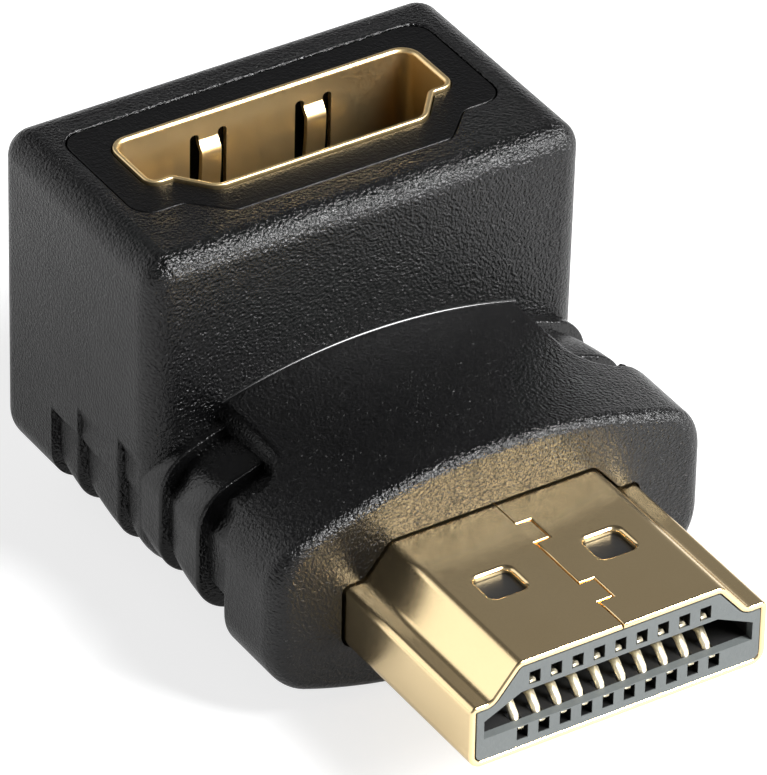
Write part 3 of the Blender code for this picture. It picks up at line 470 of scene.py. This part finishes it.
# Grip and thumb pad
# The broad crowned head that the plug comes out of, and the smooth strip that runs back from it
# over the neck to the block. Same black plastic, with the mould's edges slightly rounded.
grip_front = -0.006075
grip_rear = -0.001975
grip_corner = 0.0024
grip_side_edge = 0.0009
grip_end_edge = 0.00048
grip_edge = 0.00022
grip_rear_sweep = 0.0005
grip_rear_corner = 0.00105
grip_rear_round = 0.0004
pad_fillet = 0.0016
pad_end = block_front + 0.001
pad_edge = 0.00036
plug_axis = 0.00525
plug_half_width = 0.00695
plug_half_height = 0.002225
plug_shoulder = 0.000755
plug_neck_half_width = 0.00602
plug_top_half_width = 0.0048
plug_corners = (0.0006, 0.0003, 0.00045, 0.0005)
plug_mouth_gap = 0.00009
plug_mouth_depth = 0.0011
plug_mouth_edge = 0.00005
past_end = 0.001
above_grip = 0.012
blunt_turn = 35


def grip_depth(place, normal):
    """How far the grip's surface lies in at its rounded front."""
    return rounding(place.y - grip_front,
                    grip_end_edge + (grip_side_edge - grip_end_edge) * normal.x ** 2)


def connector_corners(gap):
    """Half outline of the plug's section, wide side first, grown by a gap."""
    slant = math.atan2(plug_half_height - plug_shoulder, plug_neck_half_width - plug_top_half_width)
    spread = gap * math.tan(slant / 2)
    foot, shoulder, neck, top = plug_corners
    return [(plug_half_width + gap, -plug_half_height - gap, foot + gap),
            (plug_half_width + gap, plug_shoulder + gap, shoulder + gap),
            (plug_neck_half_width + spread, plug_shoulder + gap, neck - gap),
            (plug_top_half_width + spread, plug_half_height + gap, top + gap)]


def plug_solid(gap, front, rear):
    """Solid on the connector's outline, lying along the plug."""
    made = plan_solid(connector_corners(gap), -rear, -front)
    bmesh.ops.rotate(made, verts=made.verts, cent=(0, 0, 0),
                     matrix=Matrix.Rotation(math.radians(90), 3, "X"))
    bmesh.ops.translate(made, verts=made.verts, vec=(0, 0, plug_axis))
    return made


bm = bmesh.new()
crown_top = barrel_middle + crown_half_height
point = bm.verts.new((0, grip_front, crown_top))
lean, corner_height = crowned_corner(half_width, crown_half_height, grip_corner)
point = turn_on(bm, point, 0, crown_top - crown_radius, lean, steps=22)
point = turn_on(bm, point, half_width - grip_corner, barrel_middle + corner_height,
                90 - lean, steps=14)
point = run_on(bm, point, (half_width, grip_front, barrel_middle - corner_height))
point = turn_on(bm, point, half_width - grip_corner, barrel_middle - corner_height,
                90 - lean, steps=14)
point = turn_on(bm, point, 0, barrel_middle - crown_half_height + crown_radius,
                lean - rest_lean, steps=18)
mirror_wire(bm)
places = [grip_front + distance for distance in edge_places(grip_side_edge, steps=10)]
press(bm, draw_along(bm, places[1:] + [pad_end]), grip_depth)
grip_plan = plan_solid([(half_width + past_end, grip_front - past_end, 0),
                        (half_width + past_end, grip_rear - grip_rear_sweep, 0),
                        (half_width - grip_rear_corner, grip_rear, grip_rear_round),
                        (pad_half_width, grip_rear, pad_fillet),
                        (pad_half_width, pad_end + past_end, 0)], -past_end, above_grip)
bm = cut(bm, grip_plan, "INTERSECT")
round_edges(bm, pad_edge, segments=6, least_turn=blunt_turn,
            wanted=lambda place: grip_rear - hair < place.y and place.z > barrel_middle
            and abs(place.x) < pad_half_width + pad_fillet)
round_edges(bm, grip_edge, segments=4, least_turn=blunt_turn,
            wanted=lambda place: place.z > 10 * hair
            and grip_rear - grip_rear_sweep - hair < place.y < pad_end - hair)
bm = cut(bm, plug_solid(plug_mouth_gap, grip_front - past_end, grip_front + plug_mouth_depth))
round_edges(bm, plug_mouth_edge, segments=2,
            wanted=lambda place: place.y < grip_front + speck
            and abs(place.x) < plug_half_width + 20 * hair)
new_piece("grip_moulding", bm, "overmould", soft_black)

# Fillet where the thumb pad meets the block
# Part of the same soft black shot. The mould's corner is slightly rounded there, and the small
# cove that it leaves between pad and block catches the light as a thin line.
cove = 0.00011
cove_inset = 0.0001
line_black = moulded_plastic("line_black_plastic", *black_shades, gloss=0.16, matt=0.26, grain=0.14,
                             grain_height=0.000002, pitting=0.25, specular=0.5)
bm = bmesh.new()
point = bm.verts.new((0, block_front - cove, crown_top))
spun = bmesh.ops.spin(bm, geom=[point], cent=(0, block_front - cove, crown_top + cove),
                      axis=(1, 0, 0), angle=math.radians(90), steps=5)["geom_last"]
point = points_of(spun)[0]
for y, z in ((cove, cove), (cove, -cove), (-cove, -cove)):
    point = run_on(bm, point, (0, block_front + y, crown_top + z))
bmesh.ops.contextual_create(bm, geom=[vert for vert in bm.verts if len(vert.link_edges) == 1])
bmesh.ops.contextual_create(bm, geom=bm.edges[:])
cove_lean = math.asin((pad_half_width - cove_inset) / crown_radius)
bmesh.ops.rotate(bm, verts=bm.verts, cent=(0, 0, crown_top - crown_radius),
                 matrix=Matrix.Rotation(-cove_lean, 3, "Y"))
bmesh.ops.spin(bm, geom=bm.faces[:] + bm.edges[:] + bm.verts[:],
               cent=(0, 0, crown_top - crown_radius), axis=(0, 1, 0), angle=2 * cove_lean, steps=36)
new_piece("pad_cove", bm, "overmould", line_black)

# Inner moulding
# Harder, smoother black plastic shot first round plug, board and socket. Only its D-shaped top
# shows, as the dark surround of the socket's mouth, with a hairline gap to the outer moulding.
surround_top = block_top - 0.00004
surround_edge = 0.00006
smooth_black = moulded_plastic("smooth_black_plastic", (0.0005, 0.0005, 0.0006),
                               (0.0012, 0.0012, 0.0013), gloss=0.26, matt=0.42, grain=0.16,
                               grain_height=0.00002, pitting=0.9, specular=0.22)
bm = bmesh.new()
bm.from_mesh(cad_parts["inner_moulding"].data)
bmesh.ops.remove_doubles(bm, verts=bm.verts, dist=speck)
bmesh.ops.dissolve_limit(bm, angle_limit=math.radians(1), verts=bm.verts, edges=bm.edges)
round_edges(bm, surround_edge, segments=3, wanted=lambda place: place.z > surround_top - hair)
new_piece("inner_shot", bm, "inner_moulding", smooth_black)

# Plug shell
# Steel sheet 0.28 mm thick, folded round the plug's insulator and plated pale gold. Its two ends
# meet in a seam with two square tabs, and two windows a side are punched for a socket's springs.
plug_front = -0.015325
plug_rear = -0.002125
shell_sheet = 0.00028
shell_rim = 0.00011
seam_x = 0.0001
seam_width = 0.00006
seam_tab_reach = 0.0008
seam_tab_length = 0.00145
seam_tab_starts = (0.00175, 0.0063)
seam_overrun = 0.0005
seam_edge = 0.00006
window_x = 0.00257
window_y = plug_front + 0.0048
window_size = (0.0017, 0.00155)
window_corner = 0.0003
window_edge = 0.0002
marks_height = 0.000002


def plated_metal(name, pale, deep, gloss, matt):
    """Plated sheet: faint cloudy colour, fine rolling marks and small handling specks."""
    material, tree, shader, where = new_finish(name)
    shader.inputs["Metallic"].default_value = 1
    cloud = noise(tree, where, scale=0.35, detail=4, roughness=0.55)
    marks = noise(tree, where, scale=14, detail=4, roughness=0.65)
    rough = add_node(tree, "ShaderNodeMapRange", Value=marks, From_Min=0.3, From_Max=0.7,
                     To_Min=gloss, To_Max=matt)
    bump = add_node(tree, "ShaderNodeBump", Height=marks, Strength=0.5, Distance=marks_height)
    feed(tree, shader.inputs["Base Color"], mix_colours(tree, cloud, (*pale, 1), (*deep, 1)))
    feed(tree, shader.inputs["Roughness"], rough.outputs["Result"])
    feed(tree, shader.inputs["Normal"], bump.outputs["Normal"])
    return material


def open_tube(made, axis):
    """Takes the two end faces off a solid."""
    made.normal_update()
    ends = [face for face in made.faces if abs(face.normal.dot(Vector(axis))) > 0.9]
    bmesh.ops.delete(made, geom=ends, context="FACES_ONLY")


def wall(made, thickness):
    """Gives an open surface a wall to its inside, and closes the rims."""
    bmesh.ops.recalc_face_normals(made, faces=made.faces)
    bmesh.ops.solidify(made, geom=made.faces[:], thickness=thickness)
    bmesh.ops.recalc_face_normals(made, faces=made.faces)
    made.normal_update()


shell_gold = plated_metal("shell_gold", (0.96, 0.75, 0.43), (0.9, 0.69, 0.38), gloss=0.16, matt=0.26)
bm = plug_solid(0, plug_front, plug_rear)
bmesh.ops.recalc_face_normals(bm, faces=bm.faces)
open_tube(bm, (0, 1, 0))
wall(bm, shell_sheet)
round_edges(bm, shell_rim, segments=5, wanted=lambda place: place.y < plug_front + speck)

shell_top = plug_axis + plug_half_height
seam = bmesh.new()
seam_low = shell_top - 2 * shell_sheet
point = seam.verts.new((seam_x, plug_front - seam_overrun, seam_low))
for start in seam_tab_starts:
    end = start + seam_tab_length
    for x, y in ((seam_x, start), (seam_tab_reach, start), (seam_tab_reach, end), (seam_x, end)):
        point = run_on(seam, point, (x, plug_front + y, seam_low))
point = run_on(seam, point, (seam_x, plug_rear + seam_overrun, seam_low))
raised = bmesh.ops.extrude_edge_only(seam, edges=seam.edges[:])["geom"]
bmesh.ops.translate(seam, verts=points_of(raised), vec=(0, 0, 4 * shell_sheet))
wall(seam, seam_width)
bm = cut(bm, seam)

for side in (-1, 1):
    window = bmesh.new()
    bmesh.ops.create_grid(window, x_segments=1, y_segments=1, size=0.5,
                          matrix=Matrix.Translation((side * window_x, window_y, 0))
                          @ Matrix.Diagonal((*window_size, 1, 1)))
    bmesh.ops.bevel(window, geom=window.verts[:], offset=window_corner, offset_type="OFFSET",
                    affect="VERTICES", segments=6, profile=0.5, material=-1)
    raise_face(window, (0, 0, above_block))
    bm = cut(bm, window)
window_reach = Vector(window_size) / 2 + Vector((hair, hair))
round_edges(bm, window_edge, segments=4,
            wanted=lambda place: abs(abs(place.x) - window_x) < window_reach.x
            and abs(place.y - window_y) < window_reach.y
            and abs(abs(place.z - plug_axis) - plug_half_height) < speck)
round_edges(bm, seam_edge, segments=3,
            wanted=lambda place: abs(place.x) < seam_tab_reach + seam_width
            and place.y < plug_rear - hair and place.z > shell_top - shell_rim * 1.01)
new_piece("plug_sheet_shell", bm, "plug_shell", shell_gold)

# Plug insulator, contacts and circuit board
# A grey cap with the slot and its contact windows closes the plug; behind it are a black carrier
# and bronze contacts, plated gold, whose tails are soldered to a green board inside the block.
slot_middle = plug_axis - 0.0001
window_row_start = 0.00088
# Painted shade inside the cap's windows: its colour, and where along the plug it starts and where it is
# full.
window_painted_shade = (0.004, 0.004, 0.004, 1)
window_shade_start = plug_front + 0.00005
window_shade_full = plug_front + 0.00009
blade_share = 0.88
tip_radius = 0.000125
tip_inset = 0.00016
tip_rise = 0.00116


def paint_window_shade(material):
    """Paints shade into the cap's windows: black inside, a little way in from its face, where the
    recesses lie in shade.
    """
    tree = material.node_tree
    colour = tree.nodes["Principled BSDF"].inputs["Base Color"]
    place = add_node(tree, "ShaderNodeTexCoord").outputs["Object"]
    split = add_node(tree, "ShaderNodeSeparateXYZ", Vector=place)
    inside = add_node(tree, "ShaderNodeMapRange", Value=split.outputs["Y"], From_Min=window_shade_start,
                      From_Max=window_shade_full)
    above = add_math(tree, "SUBTRACT", split.outputs["Z"], slot_middle)
    rows = add_math(tree, "GREATER_THAN", add_math(tree, "ABSOLUTE", above), window_row_start)
    share = add_math(tree, "MULTIPLY", inside.outputs["Result"], rows)
    feed(tree, colour, mix_colours(tree, share, colour.links[0].from_socket, window_painted_shade))


contact_gold = plated_metal("contact_gold", (0.93, 0.86, 0.66), (0.88, 0.78, 0.55),
                            gloss=0.42, matt=0.55)
carrier_black = moulded_plastic("carrier_black_plastic", (0.006, 0.006, 0.006),
                                (0.012, 0.012, 0.012), gloss=0.4, matt=0.55, grain=0.3,
                                grain_height=0.000006, pitting=0.4, specular=0.5)
cap_grey = moulded_plastic("cap_grey_plastic", (0.072, 0.08, 0.08), (0.104, 0.113, 0.111),
                           gloss=0.35, matt=0.5, grain=0.2, grain_height=0.00001, pitting=0.4,
                           specular=0.5)
# The grey cap gets painted shade inside its windows.
paint_window_shade(cap_grey)
board_green = moulded_plastic("board_green", (0.02, 0.1, 0.045), (0.035, 0.14, 0.065),
                              gloss=0.3, matt=0.45, grain=0.4, grain_height=0.00001, pitting=0.4,
                              specular=0.5)
finishes = {"plug_contact_carrier": carrier_black, "socket_tongue": carrier_black,
            "plug_front_cap": cap_grey, "circuit_board": board_green}
for node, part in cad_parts.items():
    finish = finishes.get(node, contact_gold if "_contact_" in node else None)
    if finish:
        part.data.materials.clear()
        part.data.materials.append(finish)
    if node.startswith("plug_contact_") and finish is contact_gold:
        bm = bmesh.new()
        bm.from_mesh(part.data)
        bm.transform(part.matrix_world)
        bmesh.ops.remove_doubles(bm, verts=bm.verts, dist=1e-7)
        middle = sum(vert.co.x for vert in bm.verts) / len(bm.verts)
        for vert in bm.verts:
            vert.co.x = middle + (vert.co.x - middle) * blade_share
        if max(vert.co.z for vert in bm.verts) > slot_middle + tip_rise:
            tip = Matrix.Translation((middle, plug_front + tip_inset, slot_middle + tip_rise))
            bmesh.ops.create_uvsphere(bm, u_segments=20, v_segments=12, radius=tip_radius, matrix=tip)
        new_piece(node + "_blade", bm, node, contact_gold)

# Socket shell
# Thin steel sheet folded to the same outline, wide side to the back, plated gold. Two springs in
# each broad side are cut free by slits and bulge inwards; the mouth's edge is rounded.
socket_axis = 0.009475
socket_foot = 0.0058
socket_mouth = 0.01692
socket_gap = 0.00005
socket_sheet = 0.00025
socket_rim = 0.00006
socket_lead_in = 0.00017
spring_x = 0.0025
spring_width = 0.0009
spring_slot = 0.00042
spring_slot_corner = spring_slot * 0.45
spring_slack = 0.0002
spring_top = socket_mouth - 0.00092
spring_length = 0.0046
spring_bulge = 0.0003
spring_root = 0.0003
spring_slope = 0.0005
spring_crest = 0.0009
spring_fall = 0.7
spring_steps = 20
spring_lap = 0.0001
spring_offset = 0.00004


def socket_solid(gap, low, high):
    """Upright solid on the connector's outline, narrow side towards the plug."""
    made = plan_solid(connector_corners(gap), low, high)
    bmesh.ops.scale(made, verts=made.verts, vec=(1, -1, 1))
    bmesh.ops.translate(made, verts=made.verts, vec=(0, socket_axis, 0))
    bmesh.ops.recalc_face_normals(made, faces=made.faces)
    return made


matt_gold = plated_metal("matt_gold", (0.92, 0.73, 0.42), (0.84, 0.61, 0.29), gloss=0.3, matt=0.42)
bm = socket_solid(socket_gap + socket_sheet, socket_foot, socket_mouth)
open_tube(bm, (0, 0, 1))
wall(bm, socket_sheet)
mouth_middle = Vector((0, socket_axis, socket_mouth))
inner, outer = [], []
for edge in bm.edges:
    sides = [face.normal for face in edge.link_faces if abs(face.normal.z) < 0.5]
    if len(sides) == 1 and all(vert.co.z > socket_mouth - speck for vert in edge.verts):
        outwards = sides[0].dot(edge.verts[0].co - mouth_middle) >= 0
        (outer if outwards else inner).append(edge)
for rim, radius in ((inner, socket_lead_in), (outer, socket_rim)):
    bmesh.ops.bevel(bm, geom=rim, offset=radius, offset_type="OFFSET", affect="EDGES",
                    segments=5, profile=0.5, material=-1, clamp_overlap=False)

for x in (-spring_x, spring_x):
    for offset, width, drop in ((-spring_width / 2 - spring_slot / 2, spring_slot, 0),
                                (spring_width / 2 + spring_slot / 2, spring_slot, 0),
                                (0, spring_width + spring_slack, spring_root)):
        opening = bmesh.new()
        middle = (x + offset, socket_axis - above_block / 2, spring_top - drop - spring_length / 2)
        bmesh.ops.create_grid(opening, x_segments=1, y_segments=1, size=0.5,
                              matrix=Matrix.Translation(middle)
                              @ Matrix.Rotation(math.radians(90), 4, "X")
                              @ Matrix.Diagonal((width, spring_length, 1, 1)))
        if not drop:
            tops = [vert for vert in opening.verts if vert.co.z > spring_top - spring_length / 2]
            bmesh.ops.bevel(opening, geom=tops, offset=spring_slot_corner, offset_type="OFFSET",
                            affect="VERTICES", segments=6, profile=0.5, material=-1)
        raise_face(opening, (0, above_block, 0))
        bm = cut(bm, opening)

for x in (-spring_x, spring_x):
    for side in (-1, 1):
        wall_y = socket_axis + side * (plug_half_height + socket_gap)
        left = x - spring_width / 2
        spring = bmesh.new()
        point = spring.verts.new((left, wall_y + side * spring_offset,
                                  spring_top - spring_root + spring_lap))
        for step in range(spring_steps + 1):
            depth = spring_root + (spring_length - spring_root - spring_slot) * step / spring_steps
            inward = spring_bulge * smooth_step((depth - spring_root) / spring_slope)
            fallen = smooth_step((depth - spring_crest) / (spring_length - spring_crest))
            inward *= 1 - spring_fall * fallen
            point = run_on(spring, point, (left, wall_y - side * inward, spring_top - depth))
        across = bmesh.ops.extrude_edge_only(spring, edges=spring.edges[:])["geom"]
        bmesh.ops.translate(spring, verts=points_of(across), vec=(spring_width, 0, 0))
        bmesh.ops.recalc_face_normals(spring, faces=spring.faces)
        outwards = sum(face.normal.y * side for face in spring.faces) > 0
        bmesh.ops.solidify(spring, geom=spring.faces[:],
                           thickness=-socket_sheet if outwards else socket_sheet)
        helper = bpy.data.meshes.new("spring")
        spring.to_mesh(helper)
        spring.free()
        bm.from_mesh(helper)
new_piece("socket_sheet_shell", bm, "socket_shell", matt_gold)

# Floor, light and camera
# A plain white table under soft studio light: a strong diffuser high on the right in front, a weak
# one behind on the left, and a pale surrounding that is darker above. The camera stands where the
# photograph was taken from.
floor_reach = 2
floor_grey = (0.35, 0.35, 0.35, 1)
white = (1, 1, 1, 1)
seen_glow = 0.75
mirrored_glow = 0.4
part_middle = (0, 0, 0.008)
camera_place = (-0.14978, -0.229105, 0.202405)
camera_heading = -32.93
camera_fall = 35.177
camera_roll = 1.254
camera_lens = 388.02

bm = bmesh.new()
bmesh.ops.create_grid(bm, x_segments=1, y_segments=1, size=floor_reach)
mesh = bpy.data.meshes.new("floor")
bm.to_mesh(mesh)
bm.free()
floor = bpy.data.objects.new("floor", mesh)
bpy.context.scene.collection.objects.link(floor)
paper = bpy.data.materials.new("white_table")
paper.use_nodes = True
tree = paper.node_tree
shader = tree.nodes["Principled BSDF"]
shader.inputs["Base Color"].default_value = floor_grey
shader.inputs["Roughness"].default_value = 0.6
shader.inputs["Emission Color"].default_value = white
path = add_node(tree, "ShaderNodeLightPath")
seen = add_math(tree, "MULTIPLY", path.outputs["Is Camera Ray"], seen_glow)
glow = add_math(tree, "MULTIPLY_ADD", path.outputs["Is Glossy Ray"], mirrored_glow, seen)
feed(tree, shader.inputs["Emission Strength"], glow)
floor.data.materials.append(paper)

world = bpy.data.worlds.new("studio")
bpy.context.scene.world = world
world.use_nodes = True
tree = world.node_tree
tree.nodes.clear()
place = add_node(tree, "ShaderNodeTexCoord").outputs["Generated"]
split = add_node(tree, "ShaderNodeSeparateXYZ", Vector=place)
sky = add_node(tree, "ShaderNodeValToRGB", Fac=split.outputs["Z"])
sky.color_ramp.elements[0].position = 0
sky.color_ramp.elements[0].color = (0.9, 0.9, 0.9, 1)
sky.color_ramp.elements[1].position = 0.8
sky.color_ramp.elements[1].color = (0.05, 0.05, 0.052, 1)
for height, level in ((0.15, 0.26), (0.62, 0.23)):
    sky.color_ramp.elements.new(height).color = (level, level, level * 1.02, 1)
path = add_node(tree, "ShaderNodeLightPath")
colour = mix_colours(tree, path.outputs["Is Camera Ray"], sky.outputs["Color"], white)
background = add_node(tree, "ShaderNodeBackground", Color=colour, Strength=1)
add_node(tree, "ShaderNodeOutputWorld", Surface=background.outputs[0])


def softbox(name, place, size, power):
    """Rectangular diffuser that faces the part."""
    light = bpy.data.lights.new(name, "AREA")
    light.shape = "RECTANGLE"
    light.size, light.size_y = size
    light.energy = power
    lamp = bpy.data.objects.new(name, light)
    lamp.location = place
    way = Vector(part_middle) - Vector(place)
    lamp.rotation_euler = way.to_track_quat("-Z", "Y").to_euler()
    bpy.context.scene.collection.objects.link(lamp)


softbox("front_softbox", (0.27, -0.34, 0.36), size=(0.24, 0.36), power=12)
softbox("back_left_softbox", (-0.35, 0.42, 0.26), size=(0.6, 0.5), power=1.04)

camera = bpy.data.cameras.new("camera")
camera.lens = camera_lens
camera.sensor_width = 36
camera.clip_start = 0.01
viewer = bpy.data.objects.new("camera", camera)
viewer.matrix_world = (Matrix.Translation(camera_place)
                       @ Matrix.Rotation(math.radians(camera_heading), 4, "Z")
                       @ Matrix.Rotation(math.radians(90 - camera_fall), 4, "X")
                       @ Matrix.Rotation(math.radians(camera_roll), 4, "Z"))
bpy.context.scene.collection.objects.link(viewer)
bpy.context.scene.camera = viewer
bpy.context.scene.view_settings.view_transform = "Standard"
